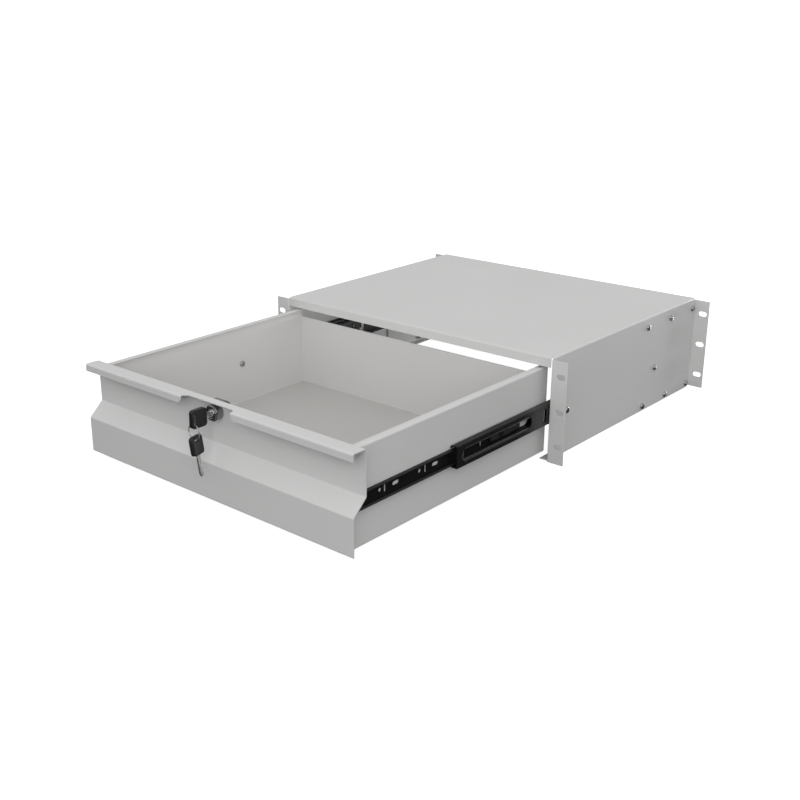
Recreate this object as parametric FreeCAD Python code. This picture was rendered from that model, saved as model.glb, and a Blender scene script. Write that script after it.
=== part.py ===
import FreeCAD, Part
import math
import os

# Sliding drawer for a 19-inch rack, three rack units high, drawn pulled fully open.
# Millimetres. X runs to the right as one faces the front, Y runs back into the rack, Z is up.
# Heights below are measured from the underside of the housing. When a piece is saved it is
# lowered so that the origin lies at the centre of the front ears' slot pattern, on their front face.

Vector = FreeCAD.Vector

# ---------------------------------------------------------------- rack and housing
housing_width = 440.0          # over the side panels
housing_height = 132.5         # three rack units, less the gap to the neighbours
housing_depth = 367.0          # front face of the ears to the rear edge of the sheet
housing_sheet = 1.2
housing_bend = 1.0             # inside radius of the housing's folds
ear_reach = 21.3               # each ear stands out this far from the side panel
top_lip = 12.5                 # height of the flange folded down along the top's front edge
bottom_lip = 13.0              # width of the flange folded in along each side's bottom edge
corner_relief = 1.0            # gap sawn at the corners where two folds meet
slot_pitch_x = 465.1           # rack hole spacing across
slot_pitch_z = 44.45           # one rack unit
slot_length = 12.0
slot_width = 7.0

# ---------------------------------------------------------------- rear brackets
bracket_sheet = 1.5
bracket_bend = 0.8
bracket_leg = 152.0            # length of the leg along the side panel
bracket_rear = 370.0           # rear face of the rear ears
bracket_margin = 3.0           # gap to the housing's top and underside
bracket_slide_gap = 3.0        # gap above and below the slide where the leg is cut away
bracket_screw_inset = 9.0      # rear column of screws, ahead of the rear ear
bracket_screw_pitch = 63.5
bracket_screw_rise = 8.0       # lower screws above the underside
bracket_screw_drop = 14.0      # upper screws below the top

# ---------------------------------------------------------------- small fasteners
screw_radius = 2.0
screw_head_radius = 3.6
screw_head_crown = 2.8         # radius of the head's flat top
screw_head_height = 2.2
screw_hole_gap = 0.15
head_sides = 12                # small fasteners, balls and openings are drawn with flat faces
shank_sides = 6
opening_sides = 12             # drawn sides of a round opening, or of a slot's two ends
ball_sides = 8
ball_ring_lift = 38.0          # degrees of a ball's two drawn rings above and below its middle
nut_across_flats = 7.0
nut_height = 3.2

# ---------------------------------------------------------------- slides
drawer_travel = 350.0
middle_share = 0.57            # the middle member moves this share of the drawer's travel
slide_height = 60.5            # centre line of the slides
slide_depth = 12.8             # side panel to drawer side
slide_setback = 21.0           # front end of the slides behind the ears, drawer shut
cabinet_length = 345.0
middle_length = 327.0
drawer_length = 345.0
cabinet_sheet = 1.2
middle_sheet = 1.0
member_sheet = 1.2             # the drawer's own slide member
outer_ball_radius = 2.3
inner_ball_radius = 2.2
ball_gap = 0.05
outer_ball_rise = 15.6         # ball centres above and below the slide's centre line
inner_ball_depth = 9.0         # inner ball centres, from the side panel
middle_web_depth = 2.1         # outer face of the middle member's web, from the side panel
curl_past = 12.0               # degrees a race curls past the ball's equator
cage_sheet = 0.5
cage_gap = 0.25
outer_cage_length = 134.0
outer_cage_lead = 4.0          # front end of the outer cage behind the cabinet member's
outer_ball_count = 5           # in each row
inner_cage_length = 168.0
inner_cage_lead = 7.0          # front end of the inner cage behind the middle member's
inner_ball_count = 6
cage_end_land = 12.0           # plain end of a cage, to its first ball
bumper_length = 7.0
bumper_height = 13.0
bumper_depth = 6.0
bumper_corner = 1.8
cabinet_screw_drop = 3.5       # the housing screws sit below the slide's centre line
cabinet_screw_set = (38.0, 260.0)      # behind the ears
cabinet_hole_set = (141.0,)
cabinet_hole_radius = 6.0
drawer_hole_set = (52.5, 117.5)            # behind the drawer's front plane, like all below
drawer_hole_radius = 2.4
drawer_level_set = ((77.9, 11.0, 4.6), (144.3, 11.0, 4.6), (312.5, 20.0, 12.0))    # middle, length, height
drawer_upright_set = (60.5, 127.1, 227.4)
drawer_upright_height = 9.6
drawer_upright_width = 3.0
member_end_gap = 0.3           # drawer member's front end to the back of the front panel
cup_short = 20.0               # degrees the drawer member's cup stops short of the ball's equator
cage_window = 6.0              # half height of the opening in a cage's web
window_length = 138.0          # long window in the middle member's web
window_height = 16.5
window_lead = 8.0
stop_slot_lead = 170.5         # upright slot in the same web, behind the member's front end
stop_slot_width = 7.5
stop_slot_height = 17.0
middle_hole_lead = 313.0
middle_hole_radius = 5.0

# ---------------------------------------------------------------- drawer tray
tray_sheet = 1.2
tray_bend = 1.0
tray_depth = 363.2             # front plane of the drawer to the outside of its back
tray_base = 6.2                # underside of the floor
tray_side_top = 117.0
tray_back_top = 104.0
tray_rim = 9.0                 # flange folded in along the top of each side
drawer_screw_height = 62.0
drawer_screw_set = (28.0, 243.0)   # behind the drawer's front plane

# ---------------------------------------------------------------- front panel
panel_sheet = 1.2
panel_bend = 1.0
panel_side_gap = 1.2           # to the housing's side panels
panel_top = 119.0
panel_base = 5.0
panel_lip = 9.0                # height of the flange along the grip's front edge
panel_recess = 19.0            # depth of the finger recess under the grip
recess_foot = 67.0             # where the recess wall turns forward
slope_foot = 49.5              # where the slope meets the lower front
panel_return = 12.0            # flange folded back under the floor
notch_half = 41.0              # half width of the cut-out over the lock
notch_depth = 8.0
notch_corner = 4.5

# ---------------------------------------------------------------- cam lock
lock_height = 105.5
bezel_radius = 9.75
bezel_length = 11.0
bezel_chamfer = 1.2
drum_sides = 36                # drawn sides of the bezel and the barrel
barrel_radius = 8.0
barrel_length = 14.0
barrel_hole_gap = 0.15
lock_nut_across = 21.0
lock_nut_height = 4.0
plug_radius = 5.5
plug_gap = 0.05
plug_face_inset = 0.4
keyway_gap = 0.15
keyway_end_gap = 1.0
tail_side = 6.0
tail_length = 2.0
cam_sheet = 1.8
cam_width = 16.7
cam_reach = 25.0               # lock axis to the cam's tip
cam_run_gap = 0.2
cam_screw_radius = 4.6
cam_screw_height = 2.6
strike_width = 34.0
strike_drop = 9.5
strike_foot = 12.0
strike_gap = 2.0               # between the locked cam and the strike, drawer shut

# ---------------------------------------------------------------- keys and ring
key_thick = 2.0
key_blade_height = 7.0
key_blade_length = 25.0
key_stand_off = 7.0            # bow to lock face with the key home
bow_length = 21.5
bow_width = 21.5
bow_thick = 6.0
bow_corner = 4.0
bow_slot_length = 14.0
bow_slot_width = 2.8
bow_rim = 2.6                  # web between the slot and the bow's end
key_tang = 8.0                 # length of blade moulded into the bow
ring_radius = 8.5              # to the middle of the wire
ring_wire = 0.5                # half the wire's thickness
ring_hang_gap = 0.25
ring_sides = 36
spare_key_turn = 22.0          # degrees the hanging key is turned about the vertical
spare_key_lean = 11.0          # degrees it hangs to one side of the ring's lowest point

# ---------------------------------------------------------------- release levers
lever_length = 54.0
lever_height = 9.0
lever_thick = 3.0
lever_inset = 65.0             # rear end of the lever ahead of the drawer member's rear end
lever_gap = 0.3
lever_pin_radius = 2.0
lever_pin_lead = 16.0          # pivot behind the lever's front end
lever_bore_gap = 0.1
lever_head_radius = 3.4
lever_head_height = 0.8

# ---------------------------------------------------------------- sizes that follow from those above
inner_half = housing_width / 2 - housing_sheet
ear_half = housing_width / 2 + ear_reach
fold_zone = housing_bend + housing_sheet + corner_relief
mid_height = housing_height / 2
top_under = housing_height - housing_sheet
tray_half = inner_half - slide_depth
tray_inner = tray_half - tray_sheet
front = -drawer_travel
tray_back = front + tray_depth
floor_top = tray_base + tray_sheet
recess_plane = front + panel_recess
panel_half = inner_half - panel_side_gap
lock_face = recess_plane - bezel_length
middle_front = slide_setback - drawer_travel * middle_share
drawer_member_front = front + slide_setback
outer_ball_depth = cabinet_sheet + ball_gap + outer_ball_radius
middle_half = outer_ball_rise - outer_ball_radius - ball_gap
inner_ball_rise = middle_half - middle_sheet - ball_gap - inner_ball_radius
slot_middle = bow_rim + bow_slot_width / 2 - bow_length    # in a key's own lengthwise direction
cabinet_half = outer_ball_rise + outer_ball_radius + ball_gap + cabinet_sheet
slot_rows = [mid_height + step * slot_pitch_z for step in (-1, 0, 1)]


# ---------------------------------------------------------------- drawing helpers
def box(x0, x1, y0, y1, z0, z1):
    """Block between two corners."""
    return Part.makeBox(x1 - x0, y1 - y0, z1 - z0, Vector(x0, y0, z0))


def rod(radius, start, direction, length):
    """Cylinder from a start point along a direction."""
    return Part.makeCylinder(radius, length, Vector(*start), Vector(*direction))


def union(shapes):
    """One solid from overlapping or touching pieces."""
    whole = shapes[0]
    if len(shapes) > 1:
        whole = whole.multiFuse(list(shapes[1:]))
    return whole.removeSplitter()


def mirrored(shape):
    """The same piece on the other side of the drawer."""
    return shape.mirror(Vector(0, 0, 0), Vector(1, 0, 0))


def spot(plane, a, b):
    """Point of a flat outline: a, b are X, Z or Y, Z or X, Y."""
    if plane == "XZ":
        return Vector(a, 0, b)
    if plane == "YZ":
        return Vector(0, a, b)
    return Vector(a, b, 0)


def along(plane, start, end):
    """Offset of the outline's plane, and the sweep that makes it a solid."""
    normal = {"XZ": Vector(0, 1, 0), "YZ": Vector(1, 0, 0), "XY": Vector(0, 0, 1)}[plane]
    return normal * start, normal * (end - start)


def prism(plane, points, start, end):
    """Straight-edged outline swept square to its plane."""
    corners = [spot(plane, a, b) for a, b in points]
    offset, sweep = along(plane, start, end)
    face = Part.Face(Part.makePolygon(corners + corners[:1]))
    face.translate(offset)
    return face.extrude(sweep)


def folded(plane, points, thick, bend, start, end):
    """Sheet folded along a middle line with rounded folds, swept square to its plane."""
    path = [FreeCAD.Vector(a, b, 0) for a, b in points]
    runs = [(path[i + 1] - path[i]).normalize() for i in range(len(path) - 1)]
    middle_bend = bend + thick / 2
    sides = {1: [], -1: []}
    for side in sides:
        normals = [Vector(-run.y, run.x, 0) * (side * thick / 2) for run in runs]
        here = path[0] + normals[0]
        for i in range(1, len(path) - 1):
            turn = runs[i - 1].x * runs[i].y - runs[i - 1].y * runs[i].x
            angle = math.atan2(turn, runs[i - 1].dot(runs[i]))
            reach = middle_bend * math.tan(abs(angle) / 2)
            into = path[i] - runs[i - 1] * reach + normals[i - 1]
            away = path[i] + runs[i] * reach + normals[i]
            toward = 1 if angle > 0 else -1
            centre = path[i] - runs[i - 1] * reach
            centre = centre + Vector(-runs[i - 1].y, runs[i - 1].x, 0) * (toward * middle_bend)
            middle = (path[i] - centre).normalize() * (middle_bend - toward * side * thick / 2) + centre
            sides[side].append(("line", here, into))
            sides[side].append(("arc", into, middle, away))
            here = away
        sides[side].append(("line", here, path[-1] + normals[-1]))
    offset, sweep = along(plane, start, end)

    def place(point):
        return spot(plane, point.x, point.y) + offset

    edges = []
    for piece in sides[1] + sides[-1]:
        if piece[0] == "arc":
            edges.append(Part.Arc(place(piece[1]), place(piece[2]), place(piece[3])).toShape())
        elif (piece[1] - piece[2]).Length > 1e-6:
            edges.append(Part.makeLine(place(piece[1]), place(piece[2])))
    first, last = sides[1][0][1], sides[-1][0][1]
    edges.append(Part.makeLine(place(first), place(last)))
    first, last = sides[1][-1][2], sides[-1][-1][2]
    edges.append(Part.makeLine(place(first), place(last)))
    outline = Part.Wire(Part.__sortEdges__(edges))
    return Part.Face(outline).extrude(sweep)


def obround_y(x, y, z, length, width, through):
    """Cutter for a slot lying along X, bored through a wall square to Y."""
    half = (length - width) / 2
    middle = box(x - half, x + half, y - through, y + through, z - width / 2, z + width / 2)
    ends = [rod(width / 2, (x + side * half, y - through, z), (0, 1, 0), 2 * through) for side in (-1, 1)]
    return union([middle] + ends)


def obround_points(y, z, length, height):
    """Outline of a slot lying along Y, its ends drawn with flat faces."""
    half = height / 2
    points = []
    for side in (1, -1):
        middle = y + side * (length - height) / 2
        for step in range(opening_sides // 2 + 1):
            turn = math.pi * (2 * step / opening_sides - 0.5)
            points.append((middle + side * half * math.cos(turn), z + side * half * math.sin(turn)))
    return points


def rounded_points(y0, y1, z0, z1, radius):
    """Outline of a rounded rectangle, its corners drawn with flat faces."""
    centres = [(y1 - radius, z1 - radius), (y0 + radius, z1 - radius),
               (y0 + radius, z0 + radius), (y1 - radius, z0 + radius)]
    quarter = opening_sides // 4
    points = []
    for corner, (y, z) in enumerate(centres):
        for step in range(quarter + 1):
            turn = math.pi / 2 * (corner + step / quarter)
            points.append((y + radius * math.cos(turn), z + radius * math.sin(turn)))
    return points


def stood(shape, seat, direction):
    """A turned piece drawn up the Z axis, moved to its seat and aimed along a direction."""
    placed = shape.copy()
    turn = FreeCAD.Rotation(Vector(0, 0, 1), Vector(*direction))
    placed.Placement = FreeCAD.Placement(Vector(*seat), turn)
    return placed


def ring_points(radius, sides):
    """Corners of a regular outline round the origin."""
    turns = [2 * math.pi * step / sides for step in range(sides)]
    return [(radius * math.cos(turn), radius * math.sin(turn)) for turn in turns]


def taper(radii, sides, start, end):
    """Flat-sided cone up the Z axis, from its first radius to its second."""
    wires = []
    for radius, z in zip(radii, (start, end)):
        corners = [Vector(x, y, z) for x, y in ring_points(radius, sides)]
        wires.append(Part.makePolygon(corners + corners[:1]))
    return Part.makeLoft(wires, True, True)


def shank(radius, start, end):
    """Flat-sided stand-in for a small screw's round shank, up the Z axis."""
    return prism("XY", ring_points(radius, shank_sides), start, end)


def screw(seat, direction, length):
    """Pan-head screw: the head stands on its seat, the shank runs along the direction."""
    head = taper((screw_head_crown, screw_head_radius), head_sides, -screw_head_height, 0)
    return stood(union([head, shank(screw_radius, 0, length)]), seat, direction)


def shank_hole(start, direction, length):
    """Clearance hole for a small screw."""
    return stood(shank(screw_radius + screw_hole_gap, 0, length), start, direction)


def nut(across, height, seat, direction, bore):
    """Hexagon nut standing on its seat; bore is the solid that fills its hole."""
    corner = across / 2 / math.cos(math.pi / 6)
    return stood(prism("XY", ring_points(corner, 6), 0, height).cut(bore), seat, direction)


# ---------------------------------------------------------------- housing
def bracket_screw_spots():
    """Screw centres that hold one rear bracket, as Y and height."""
    last = bracket_rear - bracket_screw_inset
    columns = [last - step * bracket_screw_pitch for step in range(3)]
    rows = (bracket_screw_rise, housing_height - bracket_screw_drop)
    return [(y, z) for y in columns for z in rows]


def housing_shell():
    """Top, both sides, ears and edge flanges, folded from one sheet."""
    half = housing_width / 2 - housing_sheet / 2
    low = housing_sheet / 2
    high = housing_height - housing_sheet / 2
    inner = housing_width / 2 - bottom_lip
    section = [(-inner, low), (-half, low), (-half, high), (half, high), (half, low), (inner, low)]
    pieces = [folded("XZ", section, housing_sheet, housing_bend, fold_zone, housing_depth)]
    ear = [(half, fold_zone), (half, low), (ear_half, low)]
    ear_top = housing_height - housing_sheet - corner_relief
    side_ear = folded("XY", ear, housing_sheet, housing_bend, 0, ear_top)
    pieces += [side_ear, mirrored(side_ear)]
    lip = [(low, housing_height - top_lip), (low, high), (fold_zone, high)]
    lip_half = inner_half - corner_relief
    pieces.append(folded("YZ", lip, housing_sheet, housing_bend, -lip_half, lip_half))
    shell = union(pieces)
    cutters = []
    for side in (-1, 1):
        cutters += [obround_y(side * slot_pitch_x / 2, 0, z, slot_length, slot_width, 5) for z in slot_rows]
        start = side * (inner_half - 2)
        spots = bracket_screw_spots()
        spots += [(y, slide_height - cabinet_screw_drop) for y in cabinet_screw_set]
        cutters += [shank_hole((start, y, z), (side, 0, 0), housing_sheet + 4) for y, z in spots]
    return shell.cut(Part.makeCompound(cutters))


def rear_bracket():
    """Right-hand bracket: a leg inside the side panel and an ear at the rear."""
    x = inner_half - bracket_sheet / 2
    y = bracket_rear - bracket_sheet / 2
    line = [(x, bracket_rear - bracket_leg), (x, y), (ear_half, y)]
    low = bracket_margin
    high = housing_height - bracket_margin
    whole = folded("XY", line, bracket_sheet, bracket_bend, low, high)
    reach = cabinet_half + bracket_slide_gap
    bend_start = bracket_rear - bracket_sheet - bracket_bend
    notch = box(x - 5, x + 5, bracket_rear - bracket_leg - 1, bend_start,
                slide_height - reach, slide_height + reach)
    cutters = [notch]
    cutters += [obround_y(slot_pitch_x / 2, bracket_rear, z, slot_length, slot_width, 5) for z in slot_rows]
    cutters += [shank_hole((x - 5, y, z), (1, 0, 0), 10) for y, z in bracket_screw_spots()]
    return whole.cut(Part.makeCompound(cutters))


def bracket_screws():
    """Screws through the side panels into the brackets."""
    length = housing_sheet + bracket_sheet + nut_height
    seat = housing_width / 2
    pieces = []
    for side in (-1, 1):
        pieces += [screw((side * seat, y, z), (-side, 0, 0), length) for y, z in bracket_screw_spots()]
    return Part.makeCompound(pieces)


def bracket_nuts():
    """Nuts on the inside of the brackets."""
    seat = inner_half - bracket_sheet
    bore = shank(screw_radius, -1, nut_height + 1)
    pieces = []
    for side in (-1, 1):
        for y, z in bracket_screw_spots():
            spot_on_leg = (side * seat, y, z)
            pieces.append(nut(nut_across_flats, nut_height, spot_on_leg, (-side, 0, 0), bore))
    return Part.makeCompound(pieces)


def lock_strike():
    """Angle under the top that the raised cam catches behind."""
    cam_front_shut = panel_recess + barrel_length + cam_run_gap
    face = cam_front_shut - strike_gap
    line = [(face - housing_sheet / 2, top_under - strike_drop),
            (face - housing_sheet / 2, top_under - housing_sheet / 2),
            (face - strike_foot, top_under - housing_sheet / 2)]
    return folded("YZ", line, housing_sheet, housing_bend, -strike_width / 2, strike_width / 2)


# ---------------------------------------------------------------- slides, drawn on the right-hand side
def strip(s0, s1, t0, t1, y0, y1):
    """Flat length of a slide member; s is measured inward from the side panel, t from the centre line."""
    return box(inner_half - s1, inner_half - s0, y0, y1, slide_height + t0, slide_height + t1)


def race(s, t, inner, outer, start, end, y0, y1):
    """Curled length round the ball line at s, t; angles run from outboard over the top."""
    x = inner_half - s
    z = slide_height + t

    def point(radius, angle):
        turn = math.radians(angle)
        return Vector(x + radius * math.cos(turn), y0, z + radius * math.sin(turn))

    half = (start + end) / 2
    edges = [Part.Arc(point(outer, start), point(outer, half), point(outer, end)).toShape(),
             Part.makeLine(point(outer, end), point(inner, end)),
             Part.Arc(point(inner, end), point(inner, half), point(inner, start)).toShape(),
             Part.makeLine(point(inner, start), point(outer, start))]
    return Part.Face(Part.Wire(edges)).extrude(Vector(0, y1 - y0, 0))


def both_edges(pieces):
    """The upper edge's pieces and the same ones along the lower edge."""
    centre = Vector(0, 0, slide_height)
    return pieces + [piece.mirror(centre, Vector(0, 0, 1)) for piece in pieces]


def web_tapping(y, z):
    """Cutter for a screw's hole through a slide's web."""
    return stood(shank(screw_radius, 0, slide_depth + 1), (tray_half - 1, y, z), (1, 0, 0))


def web_hole(y, radius):
    """Cutter for a round hole on the slide's centre line."""
    outline = [(y + a, slide_height + b) for a, b in ring_points(radius, opening_sides)]
    return prism("YZ", outline, tray_half - 1, inner_half + 1)


def web_level(y, length, height):
    """Cutter for a slot lying along a slide's centre line."""
    return prism("YZ", obround_points(y, slide_height, length, height), tray_half - 1, inner_half + 1)


def web_upright(y, height, width):
    """Cutter for an upright slot through a slide's web."""
    return box(tray_half - 1, inner_half + 1, y - width / 2, y + width / 2,
               slide_height - height / 2, slide_height + height / 2)


def cabinet_member():
    """Outer member: a channel fixed to the side panel, its edges curled round the outer balls."""
    y0 = slide_setback
    y1 = slide_setback + cabinet_length
    inner = outer_ball_radius + ball_gap
    outer = inner + cabinet_sheet
    curl = race(outer_ball_depth, outer_ball_rise, inner, outer, 0, 180 + curl_past, y0, y1)
    web = strip(0, cabinet_sheet, -outer_ball_rise, outer_ball_rise, y0, y1)
    member = union([web] + both_edges([curl]))
    cutters = [web_tapping(y, slide_height - cabinet_screw_drop) for y in cabinet_screw_set]
    cutters += [web_hole(y, cabinet_hole_radius) for y in cabinet_hole_set]
    return member.cut(Part.makeCompound(cutters))


def middle_member():
    """Middle member: outer balls run along its back edges, inner balls inside its curled edges."""
    y0 = middle_front
    y1 = middle_front + middle_length
    half_sheet = middle_sheet / 2
    outer_inner = outer_ball_radius + ball_gap
    inner_inner = inner_ball_radius + ball_gap
    groove = outer_inner + half_sheet
    lean = math.degrees(math.acos((outer_ball_depth - middle_web_depth - half_sheet) / groove))
    web_top = outer_ball_rise - groove * math.sin(math.radians(lean))
    pieces = [race(outer_ball_depth, outer_ball_rise, outer_inner, outer_inner + middle_sheet,
                   270, 360 - lean, y0, y1),
              strip(outer_ball_depth, inner_ball_depth, middle_half - middle_sheet, middle_half, y0, y1),
              race(inner_ball_depth, inner_ball_rise, inner_inner, inner_inner + middle_sheet,
                   90, 180 + curl_past, y0, y1)]
    web = strip(middle_web_depth, middle_web_depth + middle_sheet, -web_top, web_top, y0, y1)
    member = union([web] + both_edges(pieces))
    window = web_level(y0 + window_lead + window_length / 2, window_length, window_height)
    stop_slot = web_upright(y0 + stop_slot_lead + stop_slot_width / 2, stop_slot_height, stop_slot_width)
    hole = web_hole(y0 + middle_hole_lead, middle_hole_radius)
    return member.cut(Part.makeCompound([window, stop_slot, hole]))


def panel_slope(gap):
    """Region ahead of the front panel's back, with a gap: Y and height of its corners."""
    back = panel_sheet + gap
    lean = math.atan2(panel_recess, recess_foot - slope_foot)
    slip = back * math.tan(lean / 2)
    ahead = front - 1
    return [(ahead, panel_base - 20), (front + back, panel_base - 20), (front + back, slope_foot - slip),
            (recess_plane + back, recess_foot - slip), (recess_plane + back, housing_height),
            (ahead, housing_height)]


def drawer_member():
    """Inner member: screwed to the drawer's side, its edges cupped under the inner balls."""
    y0 = front
    y1 = drawer_member_front + drawer_length
    cup = inner_ball_radius + ball_gap
    flat = inner_ball_rise - cup
    pieces = [race(inner_ball_depth, inner_ball_rise, cup, cup + member_sheet, 270, 360 - cup_short, y0, y1),
              strip(inner_ball_depth, slide_depth, flat - member_sheet, flat, y0, y1)]
    web = strip(slide_depth - member_sheet, slide_depth, -flat, flat, y0, y1)
    member = union([web] + both_edges(pieces))
    ahead = prism("YZ", panel_slope(member_end_gap), tray_half - 1, inner_half)
    cutters = [ahead] + [web_hole(front + y, drawer_hole_radius) for y in drawer_hole_set]
    cutters += [web_level(front + y, length, height) for y, length, height in drawer_level_set]
    cutters += [web_upright(front + y, drawer_upright_height, drawer_upright_width)
                for y in drawer_upright_set]
    cutters += [web_tapping(front + y, drawer_screw_height) for y in drawer_screw_set]
    return member.cut(Part.makeCompound(cutters))


def cage(s0, depth, rise, radius, y0, length, count, window):
    """Ball cage: a thin channel between two members, with a comb of pockets along both edges."""
    y1 = y0 + length
    web = strip(s0, s0 + cage_sheet, -rise - cage_sheet / 2, rise + cage_sheet / 2, y0, y1)
    shelf = strip(s0, depth + radius - cage_gap, rise - cage_sheet / 2, rise + cage_sheet / 2, y0, y1)
    whole = union([web] + both_edges([shelf]))
    pocket = radius + ball_gap
    cutters = []
    for y in ball_rows(y0, length, count):
        for side in (-1, 1):
            low, high = sorted((side * (rise - pocket), side * (rise + pocket)))
            cutters.append(strip(depth - pocket, depth + pocket, low, high, y - pocket, y + pocket))
    if window:
        land = cage_end_land / 2
        cutters.append(strip(s0 - 1, s0 + cage_sheet + 1, -window, window, y0 + land, y1 - land))
    return whole.cut(Part.makeCompound(cutters))


def ball_rows(y0, length, count):
    """Ball centres along a cage."""
    first = y0 + cage_end_land
    pitch = (length - 2 * cage_end_land) / (count - 1)
    return [first + step * pitch for step in range(count)]


def ball(radius, centre):
    """Bearing ball drawn with flat faces, its corners on the true ball."""
    middle = Vector(*centre)
    lift = math.radians(ball_ring_lift)
    ring = ring_points(radius * math.cos(lift), ball_sides)
    rise = radius * math.sin(lift)
    low, high = [[middle + Vector(x, y, z) for x, y in ring] for z in (-rise, rise)]
    bottom, top = [middle + Vector(0, 0, z) for z in (-radius, radius)]
    faces = []
    for step in range(ball_sides):
        after = (step + 1) % ball_sides
        faces += [[low[step], low[after], high[after], high[step]],
                  [low[step], low[after], bottom], [high[step], high[after], top]]
    shell = Part.makeShell([Part.Face(Part.makePolygon(face + face[:1])) for face in faces])
    return Part.makeSolid(shell)


def balls(depth, rise, radius, y0, length, count):
    """Both rows of balls in a cage."""
    pieces = []
    for y in ball_rows(y0, length, count):
        for side in (-1, 1):
            pieces.append(ball(radius, (inner_half - depth, y, slide_height + side * rise)))
    return Part.makeCompound(pieces)


def end_bumper():
    """Rubber stop seated in the rear end of the cabinet member."""
    y1 = slide_setback + cabinet_length
    half = bumper_height / 2
    block = strip(cabinet_sheet, cabinet_sheet + bumper_depth, -half, half, y1 - bumper_length, y1)
    outward = [edge for edge in block.Edges
               if abs(edge.Vertexes[0].X - edge.Vertexes[1].X) > bumper_depth / 2]
    return block.makeFillet(bumper_corner, outward)


def lever_pin_y():
    """Pivot of the release lever along the drawer member."""
    rear = drawer_member_front + drawer_length - lever_inset
    return rear - lever_length + lever_pin_lead


def release_lever():
    """Plastic lever on the drawer member that frees the drawer from its slide."""
    pin = lever_pin_y()
    outboard = tray_half + member_sheet + lever_gap + lever_thick
    start = pin - lever_pin_lead
    half = lever_height / 2
    tail = lever_height * 0.3
    points = [(start, -half), (start + lever_length * 0.55, -half), (start + lever_length, -tail),
              (start + lever_length, tail), (start + lever_length * 0.55, half), (start, half)]
    outline = [(y, slide_height + z) for y, z in points]
    blade = prism("YZ", outline, outboard - lever_thick, outboard)
    blade = union([blade, rod(half, (outboard - lever_thick, start, slide_height), (1, 0, 0), lever_thick)])
    return blade.cut(rod(lever_pin_radius + lever_bore_gap, (outboard - lever_thick - 1, pin, slide_height),
                         (1, 0, 0), lever_thick + 2))


def lever_rivets():
    """Headed pins that carry the release levers."""
    length = lever_gap + lever_thick + lever_gap
    pin = prism("XY", ring_points(lever_pin_radius, head_sides), 0, length)
    head = prism("XY", ring_points(lever_head_radius, head_sides), length, length + lever_head_height)
    rivet = stood(union([pin, head]), (tray_half + member_sheet, lever_pin_y(), slide_height), (1, 0, 0))
    return Part.makeCompound([rivet, mirrored(rivet)])


def cabinet_screws():
    """Screws through the side panels into the cabinet members."""
    length = housing_sheet + cabinet_sheet
    seat = housing_width / 2
    z = slide_height - cabinet_screw_drop
    pieces = []
    for side in (-1, 1):
        pieces += [screw((side * seat, y, z), (-side, 0, 0), length) for y in cabinet_screw_set]
    return Part.makeCompound(pieces)


# ---------------------------------------------------------------- drawer
def drawer_tray():
    """Floor, sides and back folded from one sheet; the sides end against the front panel."""
    half = tray_half - tray_sheet / 2
    rim = tray_half - tray_rim
    low = tray_base + tray_sheet / 2
    high = tray_side_top - tray_sheet / 2
    section = [(-rim, high), (-half, high), (-half, low), (half, low), (half, high), (rim, high)]
    trough = folded("XZ", section, tray_sheet, tray_bend, front, tray_back)
    back = box(-tray_half + tray_sheet / 2, tray_half - tray_sheet / 2, tray_back - tray_sheet, tray_back,
               floor_top + tray_bend, tray_back_top)
    fold = folded("YZ", [(tray_back - tray_sheet / 2, tray_back_top), (tray_back - tray_sheet / 2, low),
                         (tray_back - tray_bend - 2 * tray_sheet, low)],
                  tray_sheet, tray_bend, -tray_inner, tray_inner)
    corner = box(-tray_inner, tray_inner, tray_back - tray_bend - tray_sheet, tray_back + 1,
                 tray_base - 1, floor_top + tray_bend)
    tray = union([trough.cut(corner), back, fold]).cut(folded_panel())
    ahead = prism("YZ", panel_slope(0), -tray_half - 1, tray_half + 1)
    cutters = [ahead]
    for y in drawer_screw_set:
        start = (-tray_half - 1, front + y, drawer_screw_height)
        cutters.append(shank_hole(start, (1, 0, 0), 2 * tray_half + 2))
    return tray.cut(Part.makeCompound(cutters))


def folded_panel():
    """Front panel's sheet before its cut-outs: lip, grip, recess wall, slope, lower face, return."""
    line = front + panel_sheet / 2
    deep = recess_plane + panel_sheet / 2
    high = panel_top - panel_sheet / 2
    low = panel_base + panel_sheet / 2
    points = [(line, panel_top - panel_lip), (line, high), (deep, high), (deep, recess_foot),
              (line, slope_foot), (line, low), (front + panel_return, low)]
    panel = folded("YZ", points, panel_sheet, panel_bend, -panel_half, panel_half)
    behind = box(tray_half, panel_half + 1, front + panel_sheet, front + panel_return + 1,
                 panel_base - 1, panel_base + panel_sheet + panel_bend)
    return panel.cut(Part.makeCompound([behind, mirrored(behind)]))


def front_panel():
    """Front panel with the cut-out in its lip and the hole for the lock."""
    corner = notch_corner
    notch = [(-notch_half, front - 1), (notch_half, front - 1), (notch_half, front + corner),
             (notch_half - corner, front + notch_depth), (corner - notch_half, front + notch_depth),
             (-notch_half, front + corner)]
    lip_foot = panel_top - panel_lip
    wide = notch_half + corner
    gap = [(-notch_half, panel_top + 1), (-notch_half, lip_foot + corner), (-wide, lip_foot - 1),
           (wide, lip_foot - 1), (notch_half, lip_foot + corner), (notch_half, panel_top + 1)]
    cutters = [prism("XY", notch, panel_top - panel_lip / 2, panel_top + 1),
               prism("XZ", gap, front - 1, front + panel_sheet + 0.2),
               lock_rod(barrel_radius + barrel_hole_gap, recess_plane - 1, panel_sheet + 2)]
    return folded_panel().cut(Part.makeCompound(cutters))


def drawer_screws():
    """Screws from inside the drawer into its slide members."""
    length = tray_sheet + member_sheet
    pieces = []
    for side in (-1, 1):
        for y in drawer_screw_set:
            seat = (side * tray_inner, front + y, drawer_screw_height)
            pieces.append(screw(seat, (side, 0, 0), length))
    return Part.makeCompound(pieces)


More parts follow.
